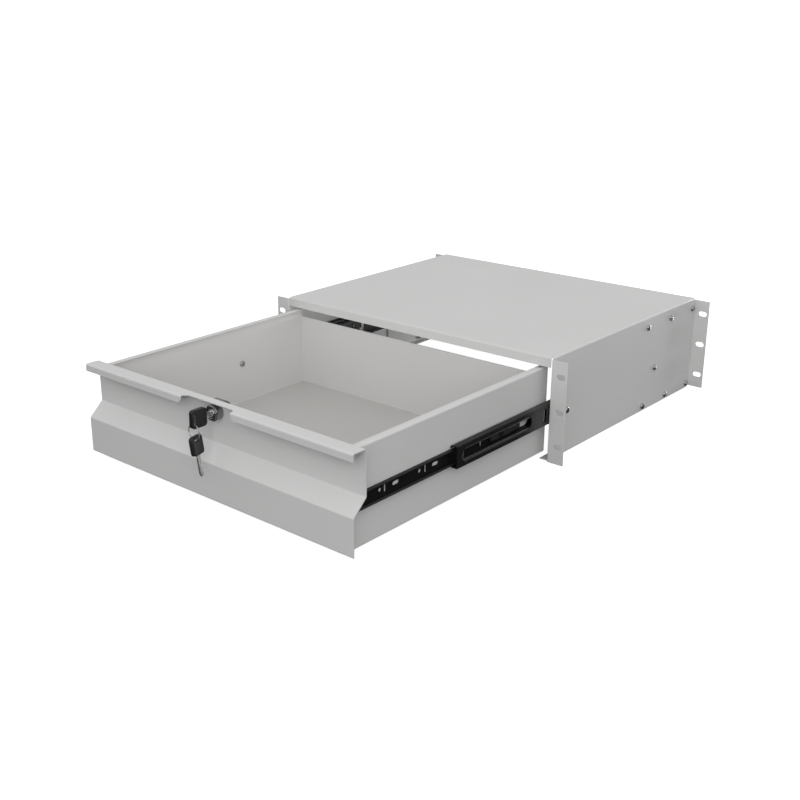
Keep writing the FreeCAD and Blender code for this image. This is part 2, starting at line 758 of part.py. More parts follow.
# ---------------------------------------------------------------- lock
def lock_rod(radius, y, length):
    """Cylinder on the lock's axis."""
    return rod(radius, (0, y, lock_height), (0, 1, 0), length)


def lock_body():
    """Bezel that stands out of the recess wall and the barrel behind it."""
    whole_length = bezel_length + barrel_length
    pieces = [taper((bezel_radius - bezel_chamfer, bezel_radius), drum_sides, 0, bezel_chamfer),
              prism("XY", ring_points(bezel_radius, drum_sides), bezel_chamfer, bezel_length),
              prism("XY", ring_points(barrel_radius, drum_sides), bezel_length, whole_length)]
    bore = lock_rod(plug_radius + plug_gap, lock_face - 1, whole_length + 2)
    return stood(union(pieces), (0, lock_face, lock_height), (0, 1, 0)).cut(bore)


def lock_nut():
    """Hexagon nut that clamps the lock to the recess wall."""
    seat = (0, recess_plane + panel_sheet, lock_height)
    bore = prism("XY", ring_points(barrel_radius, drum_sides), -1, lock_nut_height + 1)
    return nut(lock_nut_across, lock_nut_height, seat, (0, 1, 0), bore)


def lock_plug():
    """Turning plug with its keyway and the square tail for the cam."""
    start = lock_face + plug_face_inset
    end = recess_plane + barrel_length + cam_run_gap
    plug = lock_rod(plug_radius, start, end - start)
    half = tail_side / 2
    tail = box(-half, half, end, end + tail_length, lock_height - half, lock_height + half)
    keyway_half = key_thick / 2 + keyway_gap
    keyway_rise = key_blade_height / 2 + keyway_gap
    keyway_end = bow_front() + key_blade_length + keyway_end_gap
    keyway = box(-keyway_half, keyway_half, start - 1, keyway_end,
                 lock_height - keyway_rise, lock_height + keyway_rise)
    return union([plug, tail]).cut(keyway)


def lock_cam():
    """Flat cam on the plug's tail; it lies across the lock when open and stands up when locked."""
    y0 = recess_plane + barrel_length + cam_run_gap
    half = cam_width / 2
    plate = box(half - cam_reach, 0, y0, y0 + cam_sheet, lock_height - half, lock_height + half)
    whole = union([plate, lock_rod(half, y0, cam_sheet),
                   rod(half, (half - cam_reach, y0, lock_height), (0, 1, 0), cam_sheet)])
    hole = tail_side / 2
    return whole.cut(box(-hole, hole, y0 - 1, y0 + cam_sheet + 1, lock_height - hole, lock_height + hole))


def cam_screw():
    """Hexagon screw that holds the cam on the plug's tail."""
    start = recess_plane + barrel_length + cam_run_gap + tail_length
    return stood(prism("XY", ring_points(cam_screw_radius, 6), 0, cam_screw_height),
                 (0, start, lock_height), (0, 1, 0))


# ---------------------------------------------------------------- keys, drawn along Y, bow's end at -Y
def key_bow():
    """Moulded bow; its blade side lies at Y = 0."""
    half = bow_width / 2
    outline = rounded_points(-bow_length, 0, -half, half, bow_corner)
    block = prism("YZ", outline, -bow_thick / 2, bow_thick / 2)
    lying = obround_points(0, slot_middle, bow_slot_length, bow_slot_width)
    slot = prism("YZ", [(y, z) for z, y in lying], -bow_thick, bow_thick)
    return block.cut(Part.makeCompound([slot, key_blade()]))


def key_blade():
    """Flat steel blade with its bitting; the end inside the bow lies at -Y."""
    half = key_blade_height / 2
    tip = key_blade_length
    outline = [(-key_tang, -half), (tip - half, -half), (tip, -half * 0.2), (tip - half * 0.8, half)]
    steps = [(0.78, 0.45), (0.70, 0.45), (0.62, 1.0), (0.52, 0.2), (0.44, 0.2), (0.36, 0.8), (0.28, 1.0)]
    outline += [(share * tip, depth * half) for share, depth in steps]
    outline.append((-key_tang, half))
    return prism("YZ", outline, -key_thick / 2, key_thick / 2)


def bow_front():
    """Where the inserted key's bow meets its blade."""
    return lock_face - key_stand_off


def ring_height():
    """Centre of the ring as it hangs in the inserted key's slot."""
    crossing = math.sqrt(ring_radius ** 2 - (bow_thick / 2) ** 2)
    return lock_height - bow_slot_length / 2 + ring_wire + ring_hang_gap - crossing


def ring_line():
    """Y of the ring: the middle of the inserted key's slot."""
    return bow_front() + slot_middle


def inserted(shape):
    """A key piece placed in the lock."""
    placed = shape.copy()
    placed.translate(Vector(0, bow_front(), lock_height))
    return placed


def hanging(shape):
    """A key piece hung on the ring, blade down."""
    placed = shape.copy()
    placed.translate(Vector(0, -slot_middle, 0))
    placed.rotate(Vector(0, 0, 0), Vector(1, 0, 0), -90)
    placed.rotate(Vector(0, 0, 0), Vector(0, 0, 1), spare_key_turn)
    half_across = bow_thick / 2 / math.cos(math.radians(spare_key_turn))
    crossing = math.sqrt(ring_radius ** 2 - half_across ** 2)
    drop = ring_wire + ring_hang_gap - bow_slot_width / 2 - crossing
    placed.translate(Vector(0, 0, drop))
    placed.rotate(Vector(0, 0, 0), Vector(0, 1, 0), -spare_key_lean)
    placed.translate(Vector(0, ring_line(), ring_height()))
    return placed


def key_ring():
    """Ring of square wire through both bows."""
    outside, inside = [prism("XY", ring_points(ring_radius + step, ring_sides), 0, 2 * ring_wire)
                       for step in (ring_wire, -ring_wire)]
    return stood(outside.cut(inside), (0, ring_line() - ring_wire, ring_height()), (0, 1, 0))


# ---------------------------------------------------------------- pieces and files
outer_cage_front = slide_setback + outer_cage_lead
inner_cage_front = middle_front + inner_cage_lead
outer_cage_depth = cabinet_sheet + (middle_web_depth - cabinet_sheet - cage_sheet) / 2
inner_cage_depth = middle_web_depth + middle_sheet + cage_gap
outer_cage_sizes = (outer_ball_depth, outer_ball_rise, outer_ball_radius,
                    outer_cage_front, outer_cage_length, outer_ball_count)
inner_cage_sizes = (inner_ball_depth, inner_ball_rise, inner_ball_radius,
                    inner_cage_front, inner_cage_length, inner_ball_count)

single = {
    "housing_shell": housing_shell(),
    "bracket_screws": bracket_screws(),
    "bracket_nuts": bracket_nuts(),
    "lock_strike": lock_strike(),
    "cabinet_screws": cabinet_screws(),
    "drawer_tray": drawer_tray(),
    "front_panel": front_panel(),
    "drawer_screws": drawer_screws(),
    "lever_rivets": lever_rivets(),
    "lock_body": lock_body(),
    "lock_nut": lock_nut(),
    "lock_plug": lock_plug(),
    "lock_cam": lock_cam(),
    "cam_screw": cam_screw(),
    "key_blade": inserted(key_blade()),
    "key_bow": inserted(key_bow()),
    "key_ring": key_ring(),
    "spare_key_blade": hanging(key_blade()),
    "spare_key_bow": hanging(key_bow()),
}
pairs = {
    "rear_bracket": rear_bracket(),
    "cabinet_member": cabinet_member(),
    "middle_member": middle_member(),
    "drawer_member": drawer_member(),
    "outer_cage": cage(outer_cage_depth, *outer_cage_sizes, cage_window),
    "outer_balls": balls(*outer_cage_sizes),
    "inner_cage": cage(inner_cage_depth, *inner_cage_sizes, cage_window),
    "inner_balls": balls(*inner_cage_sizes),
    "end_bumper": end_bumper(),
    "release_lever": release_lever(),
}

os.makedirs("parts", exist_ok=True)


def save(node, shape):
    """Write one piece, lowered into the part's own frame."""
    placed = shape.copy()
    placed.translate(Vector(0, 0, -mid_height))
    placed.exportStep("parts/" + node + ".step")


for node, shape in single.items():
    save(node, shape)
for node, shape in pairs.items():
    save(node + "_right", shape)
    save(node + "_left", mirrored(shape))
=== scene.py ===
import math

import bmesh
import bpy
from mathutils import Matrix, Vector


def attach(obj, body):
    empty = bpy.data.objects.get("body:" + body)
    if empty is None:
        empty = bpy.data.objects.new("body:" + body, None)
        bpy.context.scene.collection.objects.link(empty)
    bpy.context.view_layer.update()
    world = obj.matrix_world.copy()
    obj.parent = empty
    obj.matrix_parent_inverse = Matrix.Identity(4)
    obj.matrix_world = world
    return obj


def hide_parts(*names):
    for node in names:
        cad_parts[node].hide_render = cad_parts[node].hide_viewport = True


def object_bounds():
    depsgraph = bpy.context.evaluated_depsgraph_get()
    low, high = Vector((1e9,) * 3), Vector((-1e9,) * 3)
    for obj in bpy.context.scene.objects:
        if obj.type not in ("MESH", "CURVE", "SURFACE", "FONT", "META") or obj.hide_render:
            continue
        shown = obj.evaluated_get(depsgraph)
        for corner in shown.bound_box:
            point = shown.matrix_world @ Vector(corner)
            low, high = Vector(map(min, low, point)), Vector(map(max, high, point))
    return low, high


# Sliding drawer for a 19-inch rack, drawn pulled out to its stops.
# Metres. X runs to the right as one faces the front, Y runs back into the rack, Z is up.
# The folded sheet, the slides and the lock's structure come from the solids. What is made here is the
# small hardware that needs a finer hand: screws, nuts, bearing balls, the lock's turned and plated
# parts, the keys and their ring. Then every surface gets its finish, and the drawer its studio.

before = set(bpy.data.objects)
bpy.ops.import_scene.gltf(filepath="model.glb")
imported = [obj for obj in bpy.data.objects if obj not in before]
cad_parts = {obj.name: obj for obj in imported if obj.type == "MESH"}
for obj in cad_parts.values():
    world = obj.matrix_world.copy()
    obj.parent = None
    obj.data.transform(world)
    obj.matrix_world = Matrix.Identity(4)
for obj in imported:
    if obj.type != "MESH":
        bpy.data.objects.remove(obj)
cad_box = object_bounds()

MM = 0.001
SEAM = 1e-7            # corners nearer than this are one, in a shape just built
CUT_SEAM = 1e-6        # and in a shape that has been cut or eased


# ---------------------------------------------------------------- finishes
class Feed:
    """A number that a node gives out, ready for sums written in Python."""

    def __init__(self, finish, socket):
        self.finish = finish
        self.socket = socket

    def sum(self, operation, first, second):
        return self.finish.node("ShaderNodeMath", {"operation": operation}, {0: first, 1: second})

    def __add__(self, other):
        return self.sum("ADD", self, other)

    def __radd__(self, other):
        return self.sum("ADD", other, self)

    def __sub__(self, other):
        return self.sum("SUBTRACT", self, other)

    def __rsub__(self, other):
        return self.sum("SUBTRACT", other, self)

    def __mul__(self, other):
        return self.sum("MULTIPLY", self, other)

    def __rmul__(self, other):
        return self.sum("MULTIPLY", other, self)


class Finish:
    """One finish: a surface shader, and the nodes that vary it over the piece."""

    def __init__(self, name, **steady):
        self.material = bpy.data.materials.new(name)
        self.start(self.material, "Principled BSDF", "Object", steady)

    def start(self, owner, shader, coordinates, steady):
        owner.use_nodes = True
        self.tree = owner.node_tree
        self.shader = self.tree.nodes[shader]
        for socket, value in steady.items():
            self.shader.inputs[socket.replace("_", " ")].default_value = value
        self.place = self.node("ShaderNodeTexCoord", out=coordinates)

    def node(self, kind, settings=None, sockets=None, out=0):
        """Any node: its settings first, then the values or links of its sockets."""
        made = self.tree.nodes.new(kind)
        for name, value in (settings or {}).items():
            if name == "stops":
                self.set_stops(made.color_ramp, value)
            else:
                setattr(made, name, value)
        for name, value in (sockets or {}).items():
            self.feed(made.inputs[name], value)
        return Feed(self, made.outputs[out])

    def feed(self, socket, value):
        if isinstance(value, Feed):
            self.tree.links.new(value.socket, socket)
        else:
            socket.default_value = value

    def set_stops(self, ramp, stops):
        while len(ramp.elements) < len(stops):
            ramp.elements.new(0.5)
        for element, (place, level) in zip(ramp.elements, stops):
            element.position = place
            element.color = (level, level, level, 1)

    def noise(self, scale, detail=2.0, rough=0.5, place=None):
        """Cloudy variation; the scale is in features per metre."""
        sockets = {"Vector": place or self.place, "Scale": scale, "Detail": detail, "Roughness": rough}
        return self.node("ShaderNodeTexNoise", None, sockets)

    def stretched(self, x, y, z):
        """The piece's own coordinates, drawn out along one or two axes."""
        return self.node("ShaderNodeMapping", None, {"Vector": self.place, "Scale": (x, y, z)})

    def axis(self, vector, letter):
        """One of a vector's three numbers."""
        return self.node("ShaderNodeSeparateXYZ", None, {0: vector}, out=letter)

    def direction(self):
        """The way the surface faces."""
        return self.node("ShaderNodeNewGeometry", out="Normal")

    def ramp(self, value, *stops):
        """A soft step from one grey to another."""
        return self.node("ShaderNodeValToRGB", {"stops": stops}, {"Fac": value})

    def blend(self, share, first, second):
        """Two colours mixed by a share."""
        return self.node("ShaderNodeMix", {"data_type": "RGBA"}, {0: share, 6: first, 7: second}, out=2)

    def rounded(self, radius):
        """The surface's direction with its sharp edges eased."""
        return self.node("ShaderNodeBevel", {"samples": 4}, {"Radius": radius})

    def edges(self, eased, low, high):
        """1 along the piece's edges and 0 on its flats."""
        settings = {"operation": "DOT_PRODUCT"}
        sockets = {0: eased, 1: self.direction()}
        facing = self.node("ShaderNodeVectorMath", settings, sockets, out="Value")
        return self.ramp(1 - facing, (low, 0), (high, 1))

    def relief(self, height, depth, eased=None, strength=1.0):
        """Fine relief over the eased surface."""
        sockets = {"Height": height, "Distance": depth, "Strength": strength}
        if eased:
            sockets["Normal"] = eased
        self.set("Normal", self.node("ShaderNodeBump", None, sockets))

    def set(self, socket, value):
        self.feed(self.shader.inputs[socket], value)


class Sky(Finish):
    """The studio's sky, wired as a finish is."""

    def __init__(self, name, **steady):
        self.world = bpy.data.worlds.new(name)
        self.start(self.world, "Background", "Generated", steady)


def grey(level, warmth=0.0):
    """A grey, a little warm or cool."""
    return (level * (1 + warmth), level, level * (1 - warmth), 1)


def powder_coat():
    """Light grey powder, baked on: a fine even peel, paler over the folds, and a painted shade, a little
    warm, on the low flats facing up.
    """
    coat = Finish("powder_coat", IOR=1.5)
    eased = coat.rounded(0.3 * MM)
    peel = coat.noise(620, 3.0, 0.55)
    grit = coat.noise(2600, 2.0)
    drift = coat.noise(9, 3.0)
    cloud = coat.blend(drift, grey(0.70, 0.006), grey(0.745, 0.004))
    speckled = coat.blend(coat.ramp(grit, (0.56, 0), (0.72, 1)) * 0.30, cloud, grey(0.62, 0.006))
    worn = coat.edges(eased, 0.02, 0.30) * (0.35 + 0.5 * coat.noise(75, 2.0))
    # painted shade: the low flats that face up are made darker and a little warm, standing in for the
    # shade and warm bounce light on the tray's floor
    low = coat.ramp(coat.axis(coat.place, "Z"), (0, 1), (10 * MM, 0))
    level = coat.ramp(coat.axis(coat.direction(), "Z"), (0.8, 0), (0.98, 1))
    painted_low_shade = low * level * (0.75 + 0.25 * coat.noise(14, 3.0))
    shaded_low = coat.blend(painted_low_shade, speckled, (0.600, 0.585, 0.565, 1))
    coat.set("Base Color", coat.blend(worn * 0.2, shaded_low, grey(0.78)))
    coat.set("Roughness", 0.40 + 0.16 * peel + 0.06 * drift)
    coat.relief(peel + 0.35 * grit, 0.10 * MM, eased, 0.34)
    return coat.material


def slide_coat(name, low, high, sheen_from=None):
    """Black dip coat over roll-formed steel, its edges paler and partly metallic where rubbed, with a
    painted highlight there too; with sheen_from given, a painted sheen makes it paler behind that place
    along its length.
    """
    coat = Finish(name, IOR=1.36)
    eased = coat.rounded(0.35 * MM)
    rolled = coat.noise(950, 2.0, 0.6, coat.stretched(1.0, 0.012, 1.0))
    drift = coat.noise(40, 3.0)
    # rubbed edges: partly wear, and partly a painted highlight, since the edges are made paler and
    # metallic to stand in for the light along the rolled beads
    rubbed = coat.edges(eased, 0.03, 0.35) * coat.ramp(coat.noise(160, 3.0), (0.35, 0.15), (0.7, 1))
    black = coat.blend(rolled, grey(low, 0.01), grey(high, 0.01))
    # painted sheen: past the given place along Y the coat is blended to a paler grey, a sheen painted into
    # the colour
    if sheen_from is not None:
        along = coat.axis(coat.place, "Y") - sheen_from
        lift, fade = 50 * MM, 12 * MM      # lifted because a ramp has no places below 0
        painted_sheen = coat.ramp(along + lift, (lift - fade, 0), (lift + fade, 1))
        black = coat.blend(painted_sheen, black, grey(0.056, 0.01))
    coat.set("Base Color", coat.blend(rubbed * 0.45, black, grey(0.16, 0.01)))
    coat.set("Metallic", rubbed * 0.5)
    coat.set("Roughness", 0.30 + 0.16 * drift + 0.10 * rolled)
    coat.relief(rolled, 0.03 * MM, eased, 0.4)
    return coat.material


def zinc_plate(name, level, streaks):
    """Bright zinc plating: cloudy passivation and the fine marks of the tool."""
    plate = Finish(name, Metallic=1.0)
    eased = plate.rounded(0.2 * MM)
    cloud = plate.noise(170, 4.0, 0.6)
    marks = plate.noise(1500, 2.0, 0.5, plate.stretched(*streaks))
    dull = plate.ramp(cloud, (0.35, 0), (0.75, 1))
    bright = (level, level * 1.005, level * 1.02, 1)
    clouded = (level * 0.72, level * 0.70, level * 0.64, 1)
    plate.set("Base Color", plate.blend(dull, bright, clouded))
    plate.set("Roughness", 0.20 + 0.16 * dull + 0.08 * marks)
    plate.relief(marks, 0.02 * MM, eased, 0.5)
    return plate.material


def ball_steel():
    """Hardened chrome steel under a thin film of grease."""
    steel = Finish("ball_steel", Metallic=1.0, IOR=1.6)
    film = steel.ramp(steel.noise(420, 3.0), (0.45, 0), (0.6, 1))
    steel.set("Base Color", steel.blend(film, grey(0.62), (0.44, 0.38, 0.26, 1)))
    steel.set("Roughness", 0.08 + 0.22 * film)
    steel.relief(film, 0.03 * MM, None, 0.4)
    return steel.material


def chrome(name, level, gloss):
    """Chrome plate over a zinc casting, faintly rippled, with hairline handling marks."""
    plate = Finish(name, Metallic=1.0)
    eased = plate.rounded(0.15 * MM)
    ripple = plate.noise(260, 2.0)
    hair = plate.ramp(plate.noise(1900, 2.0, 0.5, plate.stretched(1.0, 0.05, 0.2)), (0.60, 0), (0.66, 1))
    plate.set("Base Color", plate.blend(hair * 0.4, grey(level, -0.008), grey(level * 0.7)))
    plate.set("Roughness", gloss + 0.05 * ripple + 0.15 * hair)
    plate.relief(ripple - 0.4 * hair, 0.03 * MM, eased, 0.35)
    return plate.material


def lock_steel():
    """Stamped steel with a dull zinc wash: tumbled faces and brighter edges."""
    steel = Finish("lock_steel", Metallic=1.0)
    eased = steel.rounded(0.25 * MM)
    grain = steel.noise(1200, 3.0, 0.6)
    cloud = steel.noise(120, 3.0)
    bright = steel.edges(eased, 0.04, 0.3)
    washed = steel.blend(cloud, (0.50, 0.50, 0.48, 1), (0.66, 0.65, 0.60, 1))
    steel.set("Base Color", steel.blend(bright * 0.6, washed, grey(0.75)))
    steel.set("Roughness", 0.30 + 0.20 * grain)
    steel.relief(grain, 0.04 * MM, eased, 0.4)
    return steel.material


def key_steel():
    """Nickel-plated brass blade, milled lengthwise, its plating rubbed warm on the edges."""
    blade = Finish("key_steel", Metallic=1.0)
    eased = blade.rounded(0.12 * MM)
    milled = blade.noise(3200, 2.0, 0.5, blade.stretched(1.0, 1.0, 0.04))
    rubbed = blade.edges(eased, 0.05, 0.4) * blade.ramp(blade.noise(500, 2.0), (0.4, 0), (0.7, 1))
    blade.set("Base Color", blade.blend(rubbed * 0.6, grey(0.66, 0.012), (0.60, 0.50, 0.30, 1)))
    blade.set("Roughness", 0.18 + 0.20 * milled)
    blade.relief(milled, 0.02 * MM, eased, 0.4)
    return blade.material


def moulded(name, level, gloss, pebble, height):
    """Black moulded plastic or rubber with a fine pebbled skin."""
    skin = Finish(name, IOR=1.49)
    eased = skin.rounded(0.25 * MM)
    grain = skin.noise(pebble, 2.0, 0.6)
    drift = skin.noise(90, 2.0)
    scuffed = skin.edges(eased, 0.05, 0.4) * skin.ramp(skin.noise(700, 3.0), (0.45, 0), (0.7, 1))
    body = skin.blend(drift, grey(level), grey(level * 1.7))
    skin.set("Base Color", skin.blend(scuffed * 0.5, body, grey(level * 6 + 0.03)))
    skin.set("Roughness", gloss + 0.14 * grain + 0.08 * drift)
    skin.relief(grain, height, eased, 0.5)
    return skin.material


def studio_floor():
    """Pale matt sweep under the object, almost even."""
    paper = Finish("studio_floor", Roughness=0.9, Emission_Color=(1, 1, 1, 1), Emission_Strength=0.90)
    paper.set("Base Color", paper.blend(paper.noise(3, 3.0), grey(0.50), grey(0.54)))
    paper.relief(paper.noise(300, 2.0), 0.1 * MM, None, 0.1)
    return paper.material


SHEEN_FROM = -36 * MM     # where the painted sheen on the middle members begins, along Y

FINISHES = {
    "powder_coat": powder_coat(),
    # painted shade: slide_black, on the cabinet and drawer members, is a darker copy of the same dip coat
    # than the middle members' one, standing in for the shade on the recessed webs
    "slide_black": slide_coat("slide_black", 0.003, 0.008),
    "slide_black_lit": slide_coat("slide_black_lit", 0.006, 0.012, SHEEN_FROM),
    "cage_zinc": zinc_plate("cage_zinc", 0.62, (1.0, 0.03, 1.0)),
    "ball_steel": ball_steel(),
    "screw_zinc": zinc_plate("screw_zinc", 0.50, (1.0, 1.0, 1.0)),
    "rubber_black": moulded("rubber_black", 0.012, 0.62, 2200, 0.05 * MM),
    "plastic_black": moulded("plastic_black", 0.014, 0.36, 1500, 0.04 * MM),
    # painted shade: a darker copy of the lock's chrome, used on the lock's casting, stands in for the dark
    # reflections on its bezel
    "lock_chrome_shaded": chrome("lock_chrome_shaded", 0.30, 0.03),
    "lock_chrome": chrome("lock_chrome", 0.85, 0.14),
    "lock_steel": lock_steel(),
    "key_steel": key_steel(),
    "bow_plastic": moulded("bow_plastic", 0.006, 0.34, 1800, 0.03 * MM),
}


# ---------------------------------------------------------------- making pieces
def hung(name, shape):
    """A built shape as an object in the scene."""
    mesh = bpy.data.meshes.new(name)
    shape.to_mesh(mesh)
    shape.free()
    piece = bpy.data.objects.new(name, mesh)
    bpy.context.scene.collection.objects.link(piece)
    return piece


def closed(name, shape):
    """A built shape as an object, its seams welded and its faces turned outward."""
    bmesh.ops.remove_doubles(shape, verts=shape.verts, dist=SEAM)
    bmesh.ops.recalc_face_normals(shape, faces=shape.faces)
    return hung(name, shape)


def turned(name, profile, sides=48):
    """A turned piece: an outline of (radius, height) spun round the Z axis."""
    shape = bmesh.new()
    rows = []
    for radius, height in profile:
        if radius < SEAM:
            rows.append([shape.verts.new((0, 0, height))] * sides)
            continue
        turns = [2 * math.pi * step / sides for step in range(sides)]
        rows.append([shape.verts.new((radius * math.cos(t), radius * math.sin(t), height)) for t in turns])
    for low, high in zip(rows, rows[1:]):
        for step in range(sides):
            after = (step + 1) % sides
            corners = []
            for corner in (low[step], low[after], high[after], high[step]):
                if corner not in corners:
                    corners.append(corner)
            shape.faces.new(corners)
    return closed(name, shape)


def slab(name, outline, low, high):
    """A flat outline in X and Y, given thickness along Z."""
    shape = bmesh.new()
    base = [shape.verts.new((x, y, low)) for x, y in outline]
    top = [shape.verts.new((x, y, high)) for x, y in outline]
    shape.faces.new(base)
    shape.faces.new(top)
    for step in range(len(outline)):
        after = (step + 1) % len(outline)
        shape.faces.new((base[step], base[after], top[after], top[step]))
    return closed(name, shape)


def settled(piece):
    """The piece with its modifiers worked into its mesh, and corners that fall together welded."""
    depsgraph = bpy.context.evaluated_depsgraph_get()
    mesh = bpy.data.meshes.new_from_object(piece.evaluated_get(depsgraph))
    shape = bmesh.new()
    shape.from_mesh(mesh)
    bmesh.ops.remove_doubles(shape, verts=shape.verts, dist=CUT_SEAM)
    shape.to_mesh(mesh)
    shape.free()
    piece.modifiers.clear()
    piece.data = mesh
    return piece


def cut(piece, *tools, keep="DIFFERENCE"):
    """The piece with other solids cut away from it, or kept to what it shares with them."""
    for tool in tools:
        step = piece.modifiers.new("cut", "BOOLEAN")
        step.operation = keep
        step.solver = "EXACT"
        step.object = tool
        bpy.context.view_layer.update()
        settled(piece)
        bpy.data.objects.remove(tool)
    return piece


def eased(piece, width, segments=3, angle=30):
    """The piece with its sharp edges rounded over."""
    step = piece.modifiers.new("eased", "BEVEL")
    step.width = width
    step.segments = segments
    step.limit_method = "ANGLE"
    step.angle_limit = math.radians(angle)
    step.harden_normals = False
    bpy.context.view_layer.update()
    return settled(piece)


def joined(name, *pieces):
    """Several pieces as one, each where it lies."""
    shape = bmesh.new()
    for piece in pieces:
        part = piece.data.copy()
        part.transform(piece.matrix_world)
        shape.from_mesh(part)
        bpy.data.meshes.remove(part)
        bpy.data.objects.remove(piece)
    return hung(name, shape)


def aimed(seat, direction, turn=0.0):
    """Stands a piece drawn up the Z axis on its seat, pointing along a direction."""
    upright = Vector(direction).to_track_quat("Z", "Y").to_matrix().to_4x4()
    return Matrix.Translation(seat) @ upright @ Matrix.Rotation(turn, 4, "Z")


def repeated(name, pattern, places):
    """One piece made of many copies of a pattern."""
    shape = bmesh.new()
    for place in places:
        part = pattern.data.copy()
        part.transform(place)
        shape.from_mesh(part)
        bpy.data.meshes.remove(part)
    bpy.data.objects.remove(pattern)
    return hung(name, shape)


def fitted(piece, body, finish, *nodes, smooth=35, shade=None):
    """Gives a made piece its finish and smoothing, and hangs it on its body in place of its solids; a
    finish given as shade, a darker copy that paints shade into the colour, takes the finish's place.
    """
    piece.data.materials.clear()
    piece.data.materials.append(FINISHES[shade or finish])
    for face in piece.data.polygons:
        face.material_index = 0
    piece.data.shade_smooth()
    piece.data.set_sharp_from_angle(angle=math.radians(smooth))
    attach(piece, body)
    if nodes:
        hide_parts(*nodes)
    return piece


def lumps(node):
    """(lowest corner, highest corner) of each separate solid in a node."""
    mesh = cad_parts[node].data
    places = {}
    group = []
    for vertex in mesh.vertices:
        key = tuple(round(c, 7) for c in vertex.co)
        group.append(places.setdefault(key, len(places)))
    parent = list(range(len(places)))

    def root(item):
        while parent[item] != item:
            parent[item] = parent[parent[item]]
            item = parent[item]
        return item

    for edge in mesh.edges:
        a, b = (root(group[v]) for v in edge.vertices)
        parent[a] = b
    corners = {}
    for key, item in places.items():
        low, high = corners.setdefault(root(item), (Vector(key), Vector(key)))
        for axis in range(3):
            low[axis] = min(low[axis], key[axis])
            high[axis] = max(high[axis], key[axis])
    return sorted(corners.values(), key=lambda pair: tuple(pair[0]))


def rounded_outline(half_x, half_y, corner, steps=8):
    """Rectangle with round corners, about the origin."""
    points = []
    for quarter, (sx, sy) in enumerate(((1, 1), (-1, 1), (-1, -1), (1, -1))):
        for step in range(steps + 1):
            turn = math.pi / 2 * (quarter + step / steps)
            points.append((sx * (half_x - corner) + corner * math.cos(turn),
                           sy * (half_y - corner) + corner * math.sin(turn)))
    return points


def hex_outline(across):
    """Hexagon by its width across the flats."""
    corner = across / 2 / math.cos(math.pi / 6)
    turns = [math.pi / 3 * step for step in range(6)]
    return [(corner * math.cos(turn), corner * math.sin(turn)) for turn in turns]


# ---------------------------------------------------------------- screws and nuts
def thread(radius, pitch, low, high):
    """Outline of a threaded shank from one height up to another."""
    root = radius * 0.84
    points = [(radius * 0.80, low)]
    for step in range(int((high - low - pitch) / pitch)):
        foot = low + pitch * (0.5 + step)
        points += [(root, foot), (radius, foot + pitch * 0.42), (radius, foot + pitch * 0.55)]
    points.append((root, high))
    return points


def cross_recess(top, reach, depth):
    """Cutter for a cross recess that narrows downward."""
    blades = []
    for turn in (0, math.pi / 2):
        half = 0.12 * reach
        outline = [(-reach, half), (-reach, -half), (reach, -half), (reach, half)]
        blade = slab("recess", outline, top - depth, top + depth)
        for corner in blade.data.vertices:
            if corner.co.z < top - depth / 2:
                corner.co.x *= 0.25
        blade.data.transform(Matrix.Rotation(turn, 4, "Z"))
        blades.append(blade)
    blades.append(turned("recess_core", [(0, top - depth), (reach * 0.2, top - depth),
                                         (reach * 0.42, top + depth), (0, top + depth)], 16))
    return blades


def pan_screw(head_radius, head_height, shank_radius, shank_length):
    """Pan-head screw with a cross recess, seated at Z = 0 with its head up."""
    crown = []
    for step in range(9):
        turn = math.pi / 2 * step / 8
        crown.append((head_radius * (0.62 + 0.38 * math.cos(turn)),
                      head_height * (0.30 + 0.66 * math.sin(turn))))
    profile = [(0, -shank_length)] + thread(shank_radius, 0.7 * MM, -shank_length, 0)
    profile += [(head_radius * 0.96, 0), (head_radius, head_height * 0.08)] + crown + [(0, head_height)]
    screw = turned("pan_screw", profile, 40)
    return cut(screw, *cross_recess(head_height, head_radius * 0.60, head_height * 0.75))


def hexagon(across, height):
    """Hexagon with both its faces turned to a chamfer."""
    body = slab("hex_nut", hex_outline(across), 0, height)
    corner = across / 2 / math.cos(math.pi / 6)
    face = across * 0.475
    rim = corner * 1.05
    drop = (corner - face) * math.tan(math.radians(30)) * 1.3
    cone = turned("nut_cone", [(0, -height), (face, -height), (face, 0), (rim, drop),
                               (rim, height - drop), (face, height), (face, 2 * height),
                               (0, 2 * height)], 48)
    return cut(body, cone, keep="INTERSECT")


def hex_nut(across, height, bore):
    """Hexagon nut with its bore."""
    low, high = -1 * MM, height + 1 * MM
    drill = turned("nut_bore", [(0, low), (bore, low), (bore, high), (0, high)], 32)
    return cut(hexagon(across, height), drill)


HEAD_SEAT = 2.2 * MM       # from a head's tip in the solids down to its seat
HEAD_HEIGHT = 2.7 * MM     # height of the domed head drawn there
HEAD_SPREAD = 1.14         # its width against the plain head's


def screw_set(name, node, body, head_out):
    """All screws of one node; head_out is 1 where the heads face away from the middle, -1 where inward."""
    spots = lumps(node)
    places = []
    for low, high in spots:
        middle = (low + high) / 2
        side = math.copysign(1, middle.x) * head_out
        tip = high.x if side > 0 else low.x
        seat = Vector((tip - side * HEAD_SEAT, middle.y, middle.z))
        places.append(aimed(seat, (side, 0, 0), 0.9 * len(places)))
    low, high = spots[0]
    spread = (high.z - low.z) / 2 * HEAD_SPREAD
    pattern = pan_screw(spread, HEAD_HEIGHT, 2.0 * MM, high.x - low.x - HEAD_SEAT)
    fitted(repeated(name, pattern, places), body, "screw_zinc", node)


screw_set("pan_screws_brackets", "bracket_screws", "housing", 1)
screw_set("pan_screws_slides", "cabinet_screws", "housing", 1)
screw_set("pan_screws_tray", "drawer_screws", "drawer", -1)


